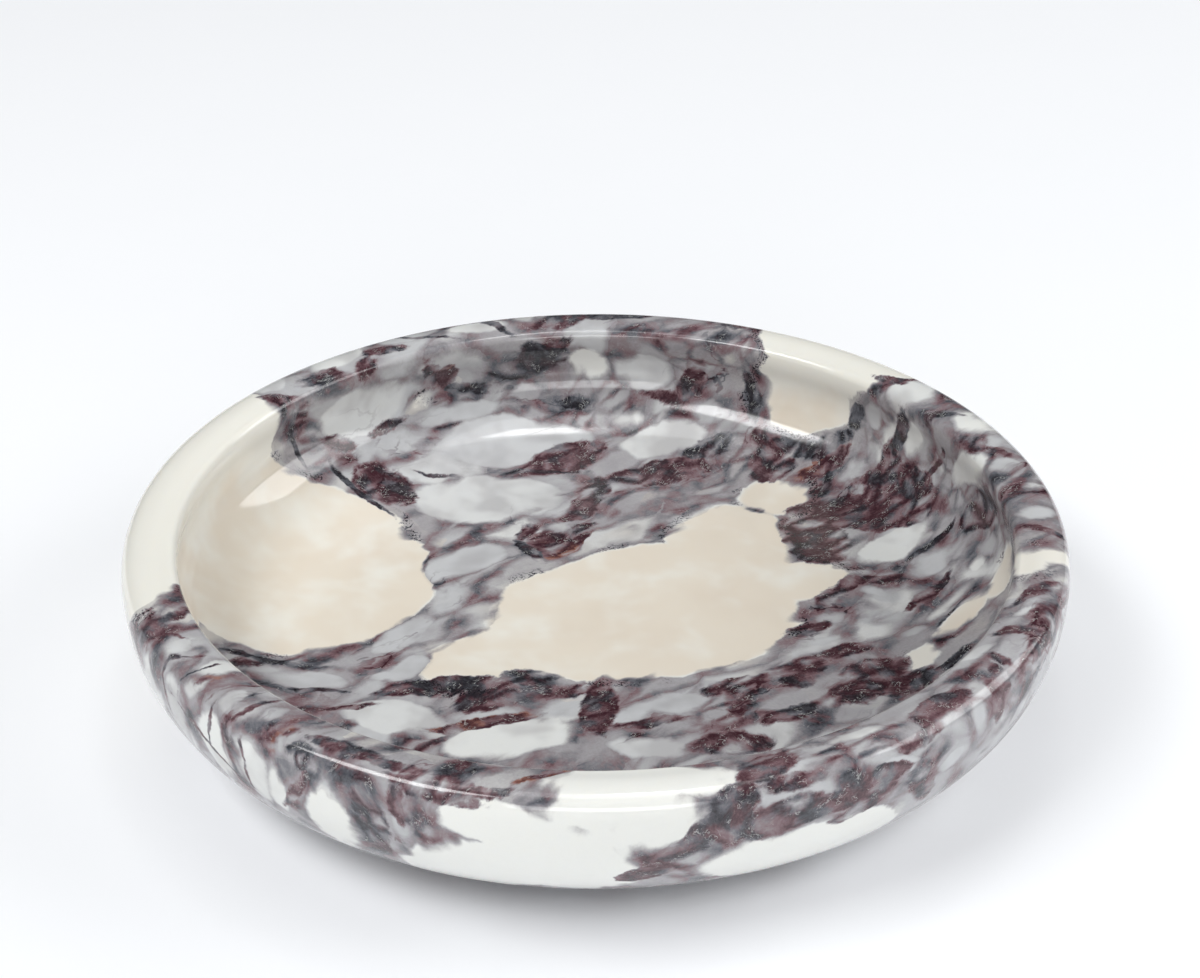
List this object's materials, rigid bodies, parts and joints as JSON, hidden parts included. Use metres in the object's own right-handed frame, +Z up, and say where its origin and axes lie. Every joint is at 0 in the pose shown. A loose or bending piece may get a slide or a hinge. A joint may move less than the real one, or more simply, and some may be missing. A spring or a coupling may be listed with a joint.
{
  "type": "catchall bowl",
  "caption": "Shallow round catchall bowl turned from veined marble, with a soft overhanging rim, a flat inner floor and anti-slip foot pads.",
  "frame": {"origin": "centre of the bowl on the table, at the level of the pads' undersides", "axes": "+Z up along the turning axis; -Y towards the side that the picture was taken from"},
  "size_m": [0.15, 0.15, 0.029],
  "materials": {
    "marble": "polished, cream and white with burgundy and slate veins",
    "pad_silicone": "translucent satin silicone"
  },
  "bodies": {
    "root": {"stone_bowl": "marble", "foot_pad_1": "pad_silicone", "foot_pad_2": "pad_silicone", "foot_pad_3": "pad_silicone", "foot_pad_4": "pad_silicone"}
  },
  "joints": []
}
